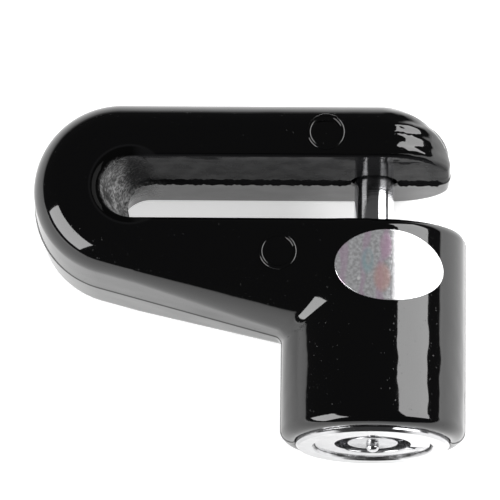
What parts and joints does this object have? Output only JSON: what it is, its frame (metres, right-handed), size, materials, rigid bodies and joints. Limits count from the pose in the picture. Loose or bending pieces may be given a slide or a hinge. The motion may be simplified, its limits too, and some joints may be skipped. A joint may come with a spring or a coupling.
{
  "type": "disc brake lock",
  "caption": "U-shaped cast lock for a brake disc: a push-in tubular lock drives a steel pin across the slot.",
  "frame": {"origin": "on the locking pin's axis, in the middle of the disc slot's width and of the body's depth", "axes": "+X towards the slot's open end, -Y along the barrel towards the key face, +Z out of the labelled front face"},
  "size_m": [0.0602, 0.0476, 0.0256],
  "materials": {
    "gloss_black": "gloss black coating over a zinc casting",
    "chrome": "bright plated steel",
    "steel": "plain turned and drawn steel",
    "brass": "turned brass",
    "foil": "bright metallised foil"
  },
  "bodies": {
    "body": {"lock_body": "gloss_black", "foil_label": "foil", "stop_pin": "steel", "return_spring": "steel"},
    "cylinder": {"cylinder_case": "chrome", "locking_pin": "chrome", "pin_cross_pin": "steel", "core_shell": "chrome", "stator": "brass", "stator_pin": "steel", "driver_pins": "brass", "driver_springs": "steel", "latch_spring": "steel"},
    "spindle": {"spindle": "chrome", "spindle_clip": "steel", "latch_cam": "steel", "key_pin_1": "steel", "key_pin_2": "steel", "key_pin_3": "steel", "key_pin_4": "steel", "key_pin_5": "steel", "key_pin_6": "steel", "key_pin_7": "steel"},
    "latch": {"latch_bolt": "steel"}
  },
  "joints": [
    {"name": "cylinder_slide", "type": "slide", "parent": "body", "child": "cylinder", "axis": [0, -1, 0], "range_m": [0, 0.012], "deforming": ["return_spring"]},
    {"name": "key_turn", "type": "hinge", "parent": "cylinder", "child": "spindle", "pos_m": [0, -0.025, 0], "axis": [0, 1, 0], "range_deg": [0, 90]},
    {"name": "latch_slide", "type": "slide", "parent": "cylinder", "child": "latch", "axis": [1, 0, 0], "range_m": [0, 0.0015], "deforming": ["latch_spring"]}
  ],
  "couplings": [
    {"joint": "latch_slide", "follows": "key_turn", "m_per_rad": 0.0009003}
  ]
}
